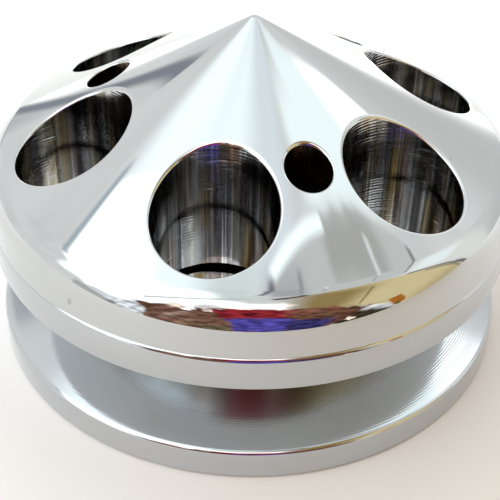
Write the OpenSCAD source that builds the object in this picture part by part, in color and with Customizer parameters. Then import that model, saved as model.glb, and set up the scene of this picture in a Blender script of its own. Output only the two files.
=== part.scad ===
// Single-groove V-belt pulley with a bolted-on bullet nose cone and its shaft-end hardware.
// Origin: centre of the pulley's back face. +Z runs along the shaft axis, out through the tip.

/* [Pulley] */
// Outside diameter of both flanges
pulley_d = 70; // [66:1:90]
// Height of the back flange, from the back face to the groove's mouth
back_flange_h = 4.45; // [4:0.05:8]
// Height of the front flange, from the groove's mouth to the rim that the nose sits on
front_flange_h = 4.7; // [3.5:0.05:8]
// Chamfer on the flange edges
flange_chamfer = 0.4; // [0.2:0.05:1]
// Depth of the ring-shaped relief in the back face
relief_depth = 3; // [1:0.5:3.5]
// Wall between the relief and the flange's outside
relief_wall = 6.5; // [4:0.5:8]
// Bottom corner radius in the groove, cut as a chamfer
groove_corner = 0.6; // [0.3:0.1:1]

/* [Groove] */
// Width of the V-groove across its mouth
groove_w = 10.75; // [9:0.25:13]
// Depth of the V-groove
groove_depth = 10.5; // [7:0.25:11.5]
// Slope of each groove wall, half of the V's included angle
groove_wall_angle = 18; // [16:1:20]

/* [Hub] */
// Diameter of the shaft bore
bore_d = 17; // [15:0.5:20]
// Length of the shaft bore, from the back face to the washer seat
bore_length = 10; // [8:0.5:11]
// Diameter of the hub's seat on the back face
hub_seat_d = 28; // [24:1:34]
// Clearance between the pocket's wall and the widest piece in it, for a socket wrench
pocket_gap = 1.5; // [1:0.1:3]

/* [Nose cone] */
// Height of the cone's sharp apex above the rim joint
nose_h = 25.5; // [20:0.1:34]
// Step in from the flange's outside to the nose's rim
rim_step = 0; // [0:0.1:2]
// Height of the straight band above the rim joint
band_h = 3.7; // [2:0.1:6]
// Radius of the shoulder between band and cone
shoulder_r = 4.8; // [3:0.1:8]
// Radius of the rounded tip
tip_r = 1.4; // [0.5:0.1:3]
// Width of the flat ring where the nose sits on the rim
seat_w = 2; // [1:0.1:3]
// Depth of the register recess in the pulley
recess_depth = 1.85; // [1:0.05:3]
// Gap between the nose's underside and the recess floor
floor_gap = 0.65; // [0.3:0.05:1]
// Clearance inside the nose above the nut before it is turned
nut_headroom = 10.5; // [8:0.5:11]

/* [Windows] */
// Number of large round windows through the nose
window_count = 6; // [6]
// Diameter of each window
window_d = 15; // [10:0.1:15.4]
// Wall left between a window and the register's edge
window_edge = 1.7; // [1:0.1:4]

/* [Nose screws] */
// Number of screws that hold the nose
screw_count = 3; // [3]
// Wall between the nut's pocket and the screws' tapped holes
screw_wall = 1.35; // [1:0.05:3]
// Thread diameter of a screw
screw_d = 3; // [2.5:0.5:4]
// Length of a screw under its head
screw_length = 12; // [10:1:14]
// Diameter of a screw's head
screw_head_d = 5.5; // [4.5:0.1:6.8]
// Height of a screw's head
screw_head_h = 3; // [2:0.25:4]
// Width across the flats of the screw's hexagon socket
screw_socket_af = 2.5; // [2:0.5:3]
// Thickness of the nose under a screw's washer
clamp_h = 3.3; // [2.5:0.1:5]
// Thickness of the split lock washer under a screw's head
screw_washer_t = 1; // [0.6:0.1:1.2]
// Width of the gap in a screw's split lock washer
screw_washer_split = 0.5; // [0.3:0.1:1]

/* [Shaft hardware] */
// Thread diameter of the shaft nut
nut_thread_d = 16; // [12:1:16]
// Width across the nut's flats
nut_af = 24; // [22:1:24]
// Height of the nut
nut_h = 8; // [6:0.5:9]
// Outside diameter of the flat washer on the hub
flat_washer_d = 30; // [27:0.5:31]
// Thickness of the flat washer
flat_washer_t = 2; // [1:0.25:2.5]
// Outside diameter of the split lock washer under the nut
lock_washer_d = 27.4; // [25:0.1:28]
// Thickness of the split lock washer under the nut
lock_washer_t = 3.5; // [2:0.25:4]
// Width of the gap in the shaft's split lock washer
lock_washer_split = 1.5; // [1:0.25:3]

/* [Clearances] */
// Gap all round the nose's register in the pulley's recess
register_gap = 0.1; // [0.05:0.01:0.2]
// Gap all round a turning screw's head in its counterbore
head_gap = 0.1; // [0.02:0.01:0.1]
// Gap all round a screw's thread in its tapped hole
thread_gap = 0.05; // [0.02:0.01:0.1]
// Gap all round a screw's shank in the nose
shank_gap = 0.2; // [0.15:0.05:0.3]
// Gap round the outside of a screw's washer in its counterbore
washer_edge_gap = 0.15; // [0.1:0.05:0.3]
// Gap between a washer's hole and what it goes over
washer_bore_gap = 0.25; // [0.15:0.05:0.5]
// Gap between the nut's corners and the nose's cavity
nut_corner_gap = 0.65; // [0.4:0.05:1]
// Empty depth of a tapped hole beyond the screw's end
tap_runout = 1.5; // [1:0.5:3]

/* [Hidden] */
$fn = 96;

// a cutter runs this far past the face that it opens
past = 1;
// the thin chamfers of turned hardware
edge = 0.3;
shoulder_steps = 8;
tip_steps = 4;
// the first screw stands in front, on the -Y side, with a window on each side of it
first_screw_angle = -90;
screw_pitch_angle = 360 / screw_count;
window_pitch_angle = 360 / window_count;
first_window_angle = first_screw_angle + window_pitch_angle / 2;

pulley_r = pulley_d / 2;
mouth_r = pulley_r - flange_chamfer;
groove_bottom_r = pulley_r - groove_depth;
groove_top_z = back_flange_h + groove_w;
joint_z = groove_top_z + front_flange_h;
nose_r = pulley_r - rim_step;
recess_r = nose_r - seat_w;
recess_z = joint_z - recess_depth;
relief_r = pulley_r - relief_wall;

underside_z = recess_z + floor_gap;
register_r = recess_r - register_gap;
window_circle_r = recess_r - window_edge - window_d / 2;

// the cone is the line from the apex that just touches the shoulder's arc
apex_z = joint_z + nose_h;
shoulder_x = nose_r - shoulder_r;
shoulder_z = joint_z + band_h;
apex_rise = apex_z - shoulder_z;
cone_angle = atan(apex_rise / shoulder_x) - asin(shoulder_r / norm([shoulder_x, apex_rise]));
tip_z = apex_z - tip_r / cos(cone_angle);

nut_corner_r = nut_af / 2 / cos(30);
nut_bore_r = nut_thread_d / 2;
washer_seat_z = bore_length;
lock_washer_z = washer_seat_z + flat_washer_t;
nut_z = lock_washer_z + lock_washer_t;
cavity_r = nut_corner_r + nut_corner_gap;
cavity_z = nut_z + nut_h + nut_headroom;

pocket_r = max(nut_corner_r, flat_washer_d / 2, lock_washer_d / 2) + pocket_gap;

screw_r = screw_d / 2;
tapped_r = screw_r + thread_gap;
screw_circle_r = pocket_r + screw_wall + tapped_r;
counterbore_r = screw_head_d / 2 + head_gap;
counterbore_z = underside_z + clamp_h;
screw_head_z = counterbore_z + screw_washer_t;
screw_end_z = screw_head_z - screw_length;
tapped_end_z = screw_end_z - tap_runout;

// depth of the groove wall along Z at a radius
function wall_drop(from_r, to_r) = (from_r - to_r) * tan(groove_wall_angle);

// points of an arc, from one angle to another
function arc(x, z, r, from, to, steps) =
    [for (i = [0:steps]) let (a = from + (to - from) * i / steps) [x + r * cos(a), z + r * sin(a)]];

// places its children on every screw's axis
module at_screw(index) {
    rotate(first_screw_angle + (index - 1) * screw_pitch_angle) translate([screw_circle_r, 0, 0]) children();
}

module at_every_screw() {
    for (index = [1:screw_count]) at_screw(index) children();
}

module at_every_window() {
    for (index = [0:window_count - 1])
        rotate(first_window_angle + index * window_pitch_angle) translate([window_circle_r, 0, 0]) children();
}

// half section of the pulley, from the bore outwards and back along the front
module pulley_section() {
    bore_r = bore_d / 2;
    lower_bottom_z = back_flange_h + wall_drop(mouth_r, groove_bottom_r);
    upper_bottom_z = groove_top_z - wall_drop(pulley_r, groove_bottom_r);
    corner_r = groove_bottom_r + groove_corner;
    polygon([
        [bore_r + edge, 0], [hub_seat_d / 2, 0], [hub_seat_d / 2, relief_depth],
        [relief_r, relief_depth], [relief_r, 0],
        [mouth_r, 0], [pulley_r, flange_chamfer],
        [pulley_r, back_flange_h - flange_chamfer], [mouth_r, back_flange_h],
        [corner_r, lower_bottom_z - wall_drop(corner_r, groove_bottom_r)],
        [groove_bottom_r, lower_bottom_z + groove_corner],
        [groove_bottom_r, upper_bottom_z - groove_corner],
        [corner_r, upper_bottom_z + wall_drop(corner_r, groove_bottom_r)],
        [pulley_r, groove_top_z], [pulley_r, joint_z - flange_chamfer], [mouth_r, joint_z],
        [recess_r, joint_z], [recess_r, recess_z],
        [pocket_r, recess_z], [pocket_r, washer_seat_z],
        [bore_r, washer_seat_z], [bore_r, edge]
    ]);
}

module pulley() {
    color("lightgray") difference() {
        rotate_extrude() pulley_section();
        at_every_screw() translate([0, 0, tapped_end_z])
            cylinder(h = recess_z - tapped_end_z + past, r = tapped_r);
    }
}

// half section of the solid nose: tip, cone, shoulder, band, seat and register
module nose_section() {
    polygon(concat(
        [[0, underside_z], [register_r, underside_z], [register_r, joint_z], [nose_r, joint_z]],
        arc(shoulder_x, shoulder_z, shoulder_r, 0, 90 - cone_angle, shoulder_steps),
        arc(0, tip_z, tip_r, 90 - cone_angle, 90, tip_steps)
    ));
}

module nose_cone() {
    color("gainsboro") difference() {
        rotate_extrude() nose_section();
        translate([0, 0, underside_z - past]) cylinder(h = cavity_z - underside_z + past, r = cavity_r);
        at_every_window() translate([0, 0, underside_z - past]) cylinder(h = apex_z, r = window_d / 2);
        at_every_screw() {
            translate([0, 0, underside_z - past]) cylinder(h = clamp_h + 2 * past, r = screw_r + shank_gap);
            translate([0, 0, counterbore_z]) cylinder(h = apex_z, r = counterbore_r);
        }
    }
}

// a flat ring with an optional slanted split through one side
module ring(outer_r, inner_r, thickness, split = 0) {
    difference() {
        cylinder(h = thickness, r = outer_r);
        translate([0, 0, -past]) cylinder(h = thickness + 2 * past, r = inner_r);
        if (split > 0)
            translate([(inner_r + outer_r) / 2, 0, thickness / 2]) rotate([20, 0, 0])
                cube([2 * (outer_r - inner_r), split, 2 * thickness], center = true);
    }
}

module flat_washer() {
    color("silver") translate([0, 0, washer_seat_z])
        ring(flat_washer_d / 2, nut_bore_r + washer_bore_gap, flat_washer_t);
}

module lock_washer() {
    color("dimgray") translate([0, 0, lock_washer_z])
        ring(lock_washer_d / 2, nut_bore_r + washer_bore_gap, lock_washer_t, lock_washer_split);
}

// hexagon nut, turned down at the corners of both ends
module shaft_nut() {
    corner_drop = (nut_corner_r - nut_af / 2 + edge) * tan(30);
    color("silver") translate([0, 0, nut_z]) difference() {
        intersection() {
            cylinder(h = nut_h, r = nut_corner_r, $fn = 6);
            rotate_extrude() polygon([
                [0, 0], [nut_af / 2 - edge, 0], [nut_corner_r, corner_drop],
                [nut_corner_r, nut_h - corner_drop], [nut_af / 2 - edge, nut_h], [0, nut_h]
            ]);
        }
        translate([0, 0, -past]) cylinder(h = nut_h + 2 * past, r = nut_bore_r);
    }
}

// socket-head cap screw with its head up
module cap_screw() {
    head_r = screw_head_d / 2;
    head_top_z = screw_head_z + screw_head_h;
    socket_depth = screw_head_h / 2;
    difference() {
        rotate_extrude() polygon([
            [0, screw_end_z], [screw_r - edge, screw_end_z], [screw_r, screw_end_z + edge],
            [screw_r, screw_head_z], [head_r, screw_head_z],
            [head_r, head_top_z - edge], [head_r - edge, head_top_z], [0, head_top_z]
        ]);
        translate([0, 0, head_top_z - socket_depth])
            cylinder(h = socket_depth + past, r = screw_socket_af / 2 / cos(30), $fn = 6);
    }
}

module screw(index) {
    color("darkslategray") at_screw(index) cap_screw();
}

module screw_washer(index) {
    color("dimgray") at_screw(index) translate([0, 0, counterbore_z])
        ring(counterbore_r - washer_edge_gap, screw_r + washer_bore_gap / 2, screw_washer_t, screw_washer_split);
}

pulley();
nose_cone();
flat_washer();
lock_washer();
shaft_nut();
screw(1);  // screw_1
screw(2);  // screw_2
screw(3);  // screw_3
screw_washer(1);  // screw_washer_1
screw_washer(2);  // screw_washer_2
screw_washer(3);  // screw_washer_3
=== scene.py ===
"""Finishes, fine shapes and studio for a single-groove V-belt pulley with a bullet nose cone."""

from __future__ import annotations

import logging
import math
from dataclasses import dataclass, field
from enum import Enum
from typing import Any, Callable, Iterable, Sequence

import bmesh
import bpy
from mathutils import Matrix, Vector

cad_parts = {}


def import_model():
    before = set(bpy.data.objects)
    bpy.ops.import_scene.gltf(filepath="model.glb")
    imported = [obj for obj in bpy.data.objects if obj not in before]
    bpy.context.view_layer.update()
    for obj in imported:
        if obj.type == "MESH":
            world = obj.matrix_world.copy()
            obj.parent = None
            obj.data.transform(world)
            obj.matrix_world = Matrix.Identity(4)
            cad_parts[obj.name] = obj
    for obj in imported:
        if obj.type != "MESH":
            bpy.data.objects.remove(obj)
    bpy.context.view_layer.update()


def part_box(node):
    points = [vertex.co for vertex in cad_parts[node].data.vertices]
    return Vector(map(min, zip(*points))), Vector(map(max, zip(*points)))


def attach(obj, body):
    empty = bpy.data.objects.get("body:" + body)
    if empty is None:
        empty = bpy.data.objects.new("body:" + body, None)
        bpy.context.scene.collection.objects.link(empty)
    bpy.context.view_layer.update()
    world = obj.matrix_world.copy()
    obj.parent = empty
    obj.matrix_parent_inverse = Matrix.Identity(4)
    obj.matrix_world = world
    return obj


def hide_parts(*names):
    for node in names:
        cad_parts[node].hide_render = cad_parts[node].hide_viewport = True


log = logging.getLogger("pulley")

MM = 0.001
TURN = 2 * math.pi
FIRST_SCREW_ANGLE = -math.pi / 2
SCREW_COUNT = 3
WINDOW_COUNT = 6
WASHER_BORE_R = 8.25 * MM
LOCK_WASHER_GAP = 1.5 * MM
SCREW_WASHER_BORE_R = 1.625 * MM
SCREW_WASHER_GAP = 0.5 * MM
# how far from a size a face may lie and still belong to it, when its finish is picked
NEAR = 0.1 * MM
# the camera side of the studio, seen from the part's own axes
CAMERA_AZIMUTH = math.radians(-110)


class Slot(Enum):
    """The record's material slots."""

    PULLEY = "pulley_chrome"
    NOSE = "nose_chrome"
    ZINC = "zinc_steel"
    SPRING = "spring_steel"
    BLACK = "black_steel"


# ---------------------------------------------------------------- shader tools


class Value:
    """One output of a shader tree, with its arithmetic written as Python operators."""

    def __init__(self, tree: "ShaderTree", socket: bpy.types.NodeSocket) -> None:
        """Wraps a socket of a tree."""
        self.tree = tree
        self.socket = socket

    def math(self, operation: str, *others: Any) -> "Value":
        """Adds a Math node that takes this value first.

        Args:
            operation: The Math node's operation.
            others: Its further inputs, values or numbers.

        Returns:
            The node's result.
        """
        return self.tree.math(operation, self, *others)

    def __add__(self, other: Any) -> "Value":
        """Sum."""
        return self.math("ADD", other)

    __radd__ = __add__

    def __sub__(self, other: Any) -> "Value":
        """Difference."""
        return self.math("SUBTRACT", other)

    def __rsub__(self, other: Any) -> "Value":
        """Difference from a number."""
        return self.tree.math("SUBTRACT", other, self)

    def __mul__(self, other: Any) -> "Value":
        """Product."""
        return self.math("MULTIPLY", other)

    __rmul__ = __mul__

    def __truediv__(self, other: Any) -> "Value":
        """Quotient."""
        return self.math("DIVIDE", other)

    def __pow__(self, other: Any) -> "Value":
        """Power."""
        return self.math("POWER", other)

    def size(self) -> "Value":
        """Absolute value."""
        return self.math("ABSOLUTE")

    def ramp(self, start: float, end: float, low: float = 0.0, high: float = 1.0) -> "Value":
        """Rises smoothly from low to high as this value goes from start to end.

        Args:
            start: This value where the ramp begins.
            end: This value where the ramp ends.
            low: Result at the start.
            high: Result at the end.

        Returns:
            The smooth ramp's value.
        """
        names = {"Value": self, "From Min": start, "From Max": end, "To Min": low, "To Max": high}
        return self.tree.node("ShaderNodeMapRange", {"interpolation_type": "SMOOTHSTEP"}, names)


class ShaderTree:
    """Builds one material's or world's nodes."""

    def __init__(self, tree: bpy.types.NodeTree) -> None:
        """Starts with an empty tree."""
        self.tree = tree
        tree.nodes.clear()

    def feed(self, socket: bpy.types.NodeSocket, value: Any) -> None:
        """Links a value into a socket, or sets a constant on it."""
        if isinstance(value, Value):
            self.tree.links.new(value.socket, socket)
        elif value is not None:
            socket.default_value = value

    def node(self, kind: str, settings: dict | None = None, inputs: dict | None = None, out: Any = 0) -> Value:
        """Adds any node.

        Args:
            kind: The node's type.
            settings: Its properties, set before its inputs; "stops" fills a colour ramp.
            inputs: Values or constants by socket name or number.
            out: The output wanted.

        Returns:
            That output.
        """
        made = self.tree.nodes.new(kind)
        for name, value in (settings or {}).items():
            if name == "stops":
                self.set_stops(made.color_ramp, value)
            else:
                setattr(made, name, value)
        for name, value in (inputs or {}).items():
            self.feed(made.inputs[name], value)
        return Value(self, made.outputs[out])

    @staticmethod
    def set_stops(ramp: bpy.types.ColorRamp, stops: Sequence[tuple[float, tuple]]) -> None:
        """Puts (position, colour) stops on a colour ramp."""
        while len(ramp.elements) < len(stops):
            ramp.elements.new(1.0)
        for element, (position, colour) in zip(ramp.elements, stops):
            element.position = position
            element.color = (*colour, 1.0)

    def finish(self, kind: str, surface: Value) -> None:
        """Ends the tree with its output node."""
        self.feed(self.tree.nodes.new(kind).inputs["Surface"], surface)

    def math(self, operation: str, *inputs: Any) -> Value:
        """Adds a Math node on up to three inputs."""
        return self.node("ShaderNodeMath", {"operation": operation}, dict(enumerate(inputs)))

    def mix(self, factor: Any, first: Any, second: Any) -> Value:
        """Mixes two colours, from first at 0 to second at 1."""
        names = {0: factor, 6: first, 7: second}
        return self.node("ShaderNodeMix", {"data_type": "RGBA"}, names, 2)

    def tone(self, factor: Any, first: Any, amount: Value) -> Value:
        """Multiplies a colour by an amount, as far as the factor says."""
        names = {0: factor, 6: first, 7: self.join(amount, amount, amount)}
        return self.node("ShaderNodeMix", {"data_type": "RGBA", "blend_type": "MULTIPLY"}, names, 2)

    def place(self) -> Value:
        """The Object coordinates, in metres in the part's own frame."""
        return self.node("ShaderNodeTexCoord", out="Object")

    def split(self, vector: Value) -> tuple[Value, Value, Value]:
        """The X, Y and Z of a vector."""
        parts = self.tree.nodes.new("ShaderNodeSeparateXYZ")
        self.feed(parts.inputs[0], vector)
        return tuple(Value(self, output) for output in parts.outputs)

    def join(self, x: Any, y: Any, z: Any) -> Value:
        """A vector from three values."""
        return self.node("ShaderNodeCombineXYZ", None, {0: x, 1: y, 2: z})

    def noise(self, vector: Value, scale: float, detail: float = 2.0, rough: float = 0.5) -> Value:
        """Soft noise from 0 to 1."""
        names = {"Vector": vector, "Scale": scale, "Detail": detail, "Roughness": rough}
        return self.node("ShaderNodeTexNoise", None, names, 0)

    def bump(self, height: Value, distance: float, strength: float = 1.0) -> Value:
        """A surface normal from a height in distances of the given metres."""
        names = {"Height": height, "Distance": distance, "Strength": strength}
        return self.node("ShaderNodeBump", None, names)


def colour(red: float, green: float, blue: float) -> tuple[float, float, float, float]:
    """An opaque colour."""
    return (red, green, blue, 1.0)


# ------------------------------------------------------------------- finishes


@dataclass(frozen=True)
class Finish:
    """A metal finish: its name, its colour and how rough it is."""

    name: str
    tint: tuple[float, float, float]
    roughness: float = 0.05

    def build(self) -> bpy.types.Material:
        """Makes the material.

        Returns:
            The finished material.
        """
        material = bpy.data.materials.new(self.name)
        material.use_nodes = True
        tree = ShaderTree(material.node_tree)
        shader = {"Metallic": 1.0, "Base Color": colour(*self.tint), "Roughness": self.roughness}
        shader.update(self.surface(tree))
        tree.finish("ShaderNodeOutputMaterial", tree.node("ShaderNodeBsdfPrincipled", None, shader))
        return material

    def surface(self, tree: ShaderTree) -> dict[str, Any]:
        """What varies over the surface, by socket name."""
        return {}


@dataclass(frozen=True)
class MirrorPlate(Finish):
    """Bright chrome over polished metal: faint haze, buffing marks and a few specks."""

    haze: float = 0.03
    haze_scale: float = 60.0
    speck_scale: float = 430.0
    speck_tint: tuple[float, float, float] = (0.2, 0.19, 0.18)
    speck_roughness: float = 0.2
    ripple_scale: float = 42.0
    ripple_height: float = 0.03 * MM
    scratch_scale: float = 900.0

    def surface(self, tree: ShaderTree) -> dict[str, Any]:
        """Haze in the roughness, a slow ripple in the normal and specks in the colour."""
        place = tree.place()
        haze = tree.noise(place, self.haze_scale, 3.0).ramp(0.35, 0.75)
        specks = tree.noise(place, self.speck_scale, 0.0).ramp(0.885, 0.92)
        rough = haze * self.haze + specks * self.speck_roughness + self.roughness
        ripple = tree.noise(place, self.ripple_scale, 1.0)
        scratches = tree.noise(place, self.scratch_scale, 2.0)
        tint = tree.mix(specks, colour(*self.tint), colour(*self.speck_tint))
        normal = tree.bump(ripple + scratches * 0.01, self.ripple_height, 0.25)
        return {"Base Color": tint, "Roughness": rough, "Normal": normal}


@dataclass(frozen=True)
class TurnedPlate(Finish):
    """Chrome over a turned face: fine rings round the axis that the plating follows."""

    ring_pitch: float = 0.30 * MM
    ring_depth: float = 0.0028 * MM
    # painted shade towards the bottom of a groove: the radius where it is full, how far it fades out, and its colour
    painted_shade_r: float = -10 * MM
    painted_shade_fade: float = 5.5 * MM
    painted_shade_tint: tuple[float, float, float] = (0.33, 0.31, 0.27)
    cloud_scale: float = 90.0
    cloud_shade: float = 0.82

    def surface(self, tree: ShaderTree) -> dict[str, Any]:
        """Rings of uneven strength from the distance to the shaft axis, and painted shade towards the bottom of a
        groove, broken into streaks.
        """
        place = tree.place()
        x, y, z = tree.split(place)
        reach = (x * x + y * y) ** 0.5
        step = reach / self.ring_pitch
        bands = tree.noise(tree.join(reach * 900.0, z * 900.0, 0.0), 1.0, 2.0).ramp(0.35, 0.65)
        fine = tree.noise(tree.join(reach * 5200.0, 0.0, z * 3000.0), 1.0, 3.0)
        patchy = tree.noise(place, 45.0, 1.0).ramp(0.38, 0.6, 0.25, 1.0)
        rings = (step * TURN).math("SINE") * bands * patchy + fine * 0.7
        cloudy = tree.noise(place, self.cloud_scale, 2.0)
        rough = cloudy.ramp(0.3, 0.7, self.roughness * 0.8, self.roughness * 1.25)
        shaded = colour(*[t * self.cloud_shade for t in self.tint])
        tint = tree.mix(cloudy.ramp(0.3, 0.8) * 0.25, colour(*self.tint), shaded)
        streaks = tree.noise(tree.join(x * 240.0, y * 240.0, 0.0), 1.0, 2.0).ramp(0.3, 0.6, 0.35, 1.0)
        # painted shade: darker and browner towards the groove bottom, broken up by the streaks
        painted_groove_shade = reach.ramp(self.painted_shade_r + self.painted_shade_fade, self.painted_shade_r) * streaks
        tint = tree.mix(painted_groove_shade, tint, colour(*self.painted_shade_tint))
        return {"Base Color": tint, "Roughness": rough, "Normal": tree.bump(rings, self.ring_depth)}


@dataclass(frozen=True)
class BoredPlate(Finish):
    """Thin plating down a drilled hole: tool rings in patches, real stains and scuffs, and long streaks down the wall
    with painted reflection in their dark and bright bands.
    """

    ring_pitch: float = 0.42 * MM
    ring_depth: float = 0.016 * MM
    # colour of the painted dark reflection bands and lines
    dark: tuple[float, float, float] = (0.18, 0.18, 0.19)
    warm: tuple[float, float, float] = (0.62, 0.52, 0.34)
    # colour of the painted bright reflection bands and lines, and of the real scuffs
    reflection_and_scuff_tint: tuple[float, float, float] = (0.88, 0.92, 0.97)

    def surface(self, tree: ShaderTree) -> dict[str, Any]:
        """Rings across the wall, broken up, and streaks of three tones along it, whose dark and bright bands and thin
        lines are painted reflection.
        """
        place = tree.place()
        x, y, z = tree.split(place)
        patches = tree.noise(tree.join(x * 90.0, y * 90.0, z * 160.0), 1.0, 2.0).ramp(0.45, 0.58)
        broken = tree.noise(tree.join(x * 70.0, y * 70.0, z * 1500.0), 1.0, 3.0)
        wave = (z / self.ring_pitch * TURN + broken * 5.0).math("SINE")
        chatter = tree.noise(tree.join(x * 60.0, y * 60.0, z * 4200.0), 1.0, 2.0)
        rings = wave * patches * broken + chatter * (patches * 1.6 + 0.25)
        streaks = tree.noise(tree.join(x * 620.0, y * 620.0, z * 26.0), 1.0, 3.0)
        stains = tree.noise(tree.join(x * 330.0 + 7.0, y * 330.0, z * 15.0), 1.0, 2.0)
        # painted reflection: dark bands down the wall
        tint = tree.mix(streaks.ramp(0.36, 0.56), colour(*self.dark), colour(*self.tint))
        tint = tree.mix(stains.ramp(0.55, 0.68) * 0.8, tint, colour(*self.warm))
        # painted reflection: bright bands down the wall
        tint = tree.mix(streaks.ramp(0.60, 0.70), tint, colour(*self.reflection_and_scuff_tint))
        # painted reflection: thin bright and dark lines down the wall
        painted_reflection_lines = tree.noise(tree.join(x * 1900.0, y * 1900.0, z * 20.0), 1.0, 1.0)
        tint = tree.mix(painted_reflection_lines.ramp(0.62, 0.68), tint, colour(*self.reflection_and_scuff_tint))
        tint = tree.mix(painted_reflection_lines.ramp(0.40, 0.34) * 0.6, tint, colour(*self.dark))
        scuffs = tree.noise(tree.join(x * 260.0, y * 260.0, z * 2600.0), 1.0, 2.0).ramp(0.61, 0.66) * patches
        tint = tree.mix(scuffs, tint, colour(*self.reflection_and_scuff_tint))
        rough = streaks * 0.08 + patches * 0.05 + self.roughness
        return {"Base Color": tint, "Roughness": rough, "Normal": tree.bump(rings, self.ring_depth)}


@dataclass(frozen=True)
class HardwareSteel(Finish):
    """Small steel hardware: cloudy colour, handling marks and a fine grain."""

    grain: float = 0.01 * MM
    grain_scale: float = 3800.0
    cloud_scale: float = 420.0
    mark_scale: float = 1500.0
    second_tint: tuple[float, float, float] = (0.4, 0.4, 0.42)

    def surface(self, tree: ShaderTree) -> dict[str, Any]:
        """Clouds in the colour and roughness, grain in the normal."""
        place = tree.place()
        clouds = tree.noise(place, self.cloud_scale, 3.0).ramp(0.3, 0.7)
        grain = tree.noise(place, self.grain_scale, 3.0)
        marks = tree.noise(place, self.mark_scale, 1.0).ramp(0.62, 0.7)
        rough = clouds * 0.12 + marks * 0.12 + self.roughness
        tint = tree.mix(clouds, colour(*self.tint), colour(*self.second_tint))
        return {"Base Color": tint, "Roughness": rough, "Normal": tree.bump(grain, self.grain, 0.4)}


@dataclass(frozen=True)
class TableTop(Finish):
    """The pale matt table, with painted light making it whitest at its far side and a painted shadow making it darker
    and warmer towards the near right.
    """

    # colour of the painted shadow towards the near right
    painted_shadow_tint: tuple[float, float, float] = (0.62, 0.535, 0.465)
    # colour of the painted light at the far side
    painted_light_tint: tuple[float, float, float] = (1.0, 1.0, 1.0)
    dust_tint: tuple[float, float, float] = (0.35, 0.31, 0.28)
    dust_scale: float = 210.0

    def surface(self, tree: ShaderTree) -> dict[str, Any]:
        """A warm white with slow shading, painted light towards the far side, a painted shadow towards the near
        right, and a few grains of dust.
        """
        place = tree.place()
        slow = tree.noise(place, 9.0, 2.0).ramp(0.3, 0.7)
        dust = tree.noise(place, self.dust_scale, 0.0).ramp(0.845, 0.87)
        x, y, _ = tree.split(place)
        ahead, aside = math.cos(CAMERA_AZIMUTH), math.sin(CAMERA_AZIMUTH)
        # painted light: the table turns whiter away from the camera
        far = (x * ahead + y * aside).ramp(70 * MM, -60 * MM)
        # painted shadow: the table turns darker and warmer towards the near right
        left = (x * aside - y * ahead).ramp(-60 * MM, 50 * MM)
        tint = tree.mix(left, colour(*self.painted_shadow_tint), colour(*self.tint))
        tint = tree.mix(far, tint, colour(*self.painted_light_tint))
        tint = tree.mix(slow * 0.12, tint, colour(*[t * 0.9 for t in self.tint]))
        tint = tree.mix(dust * 0.45, tint, colour(*self.dust_tint))
        bump = tree.bump(tree.noise(place, 600.0, 3.0), 0.02 * MM, 0.2)
        return {"Base Color": tint, "Metallic": 0.0, "Normal": bump}


class Finishes:
    """Every finish on the part, made once."""

    def __init__(self) -> None:
        """Builds the materials."""
        chrome = (0.585, 0.60, 0.605)
        self.mirror = MirrorPlate("mirror_chrome", chrome, 0.015).build()
        self.rim = MirrorPlate("rim_chrome", (0.54, 0.555, 0.575), 0.05, 0.05).build()
        # the groove's chrome gets painted shade towards the groove bottom
        self.groove = TurnedPlate("groove_chrome", (0.56, 0.585, 0.605), 0.12, painted_shade_r=24.5 * MM).build()
        self.face = TurnedPlate("face_chrome", (0.5, 0.49, 0.48), 0.05, 0.35 * MM, 0.0005 * MM).build()
        self.bore = BoredPlate("bored_chrome", (0.62, 0.62, 0.62), 0.07).build()
        # the drilled holes carry the same painted reflection bands, in oxide colours
        self.drilled = BoredPlate(
            "drilled_oxide", (0.12, 0.075, 0.04), 0.2, dark=(0.04, 0.025, 0.015), warm=(0.3, 0.18, 0.08),
            reflection_and_scuff_tint=(0.32, 0.24, 0.16)).build()
        self.zinc = HardwareSteel("zinc_steel", (0.62, 0.63, 0.65), 0.25, second_tint=(0.5, 0.5, 0.5)).build()
        self.spring = HardwareSteel("spring_steel", (0.2, 0.2, 0.21), 0.35, second_tint=(0.12, 0.11, 0.11)).build()
        self.black = HardwareSteel(
            "black_steel", (0.05, 0.04, 0.035), 0.32, second_tint=(0.09, 0.06, 0.045)).build()


# ------------------------------------------------------------------ modelling

Point = tuple[float, float]


def arc(centre: Point, radius: float, start: float, end: float, steps: int) -> list[Point]:
    """Points along an arc in the section plane.

    Args:
        centre: The arc's centre, as distance from the axis and height.
        radius: Its radius.
        start: First angle, from the outward direction.
        end: Last angle.
        steps: How many straight steps it has.

    Returns:
        The points, both ends included.
    """
    angles = [start + (end - start) * i / steps for i in range(steps + 1)]
    return [(centre[0] + radius * math.cos(a), centre[1] + radius * math.sin(a)) for a in angles]


def between(first: Point, last: Point, steps: int) -> list[Point]:
    """Evenly spaced points from first to last, the ends left out."""
    shares = [i / steps for i in range(1, steps)]
    return [(first[0] + (last[0] - first[0]) * s, first[1] + (last[1] - first[1]) * s) for s in shares]


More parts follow.
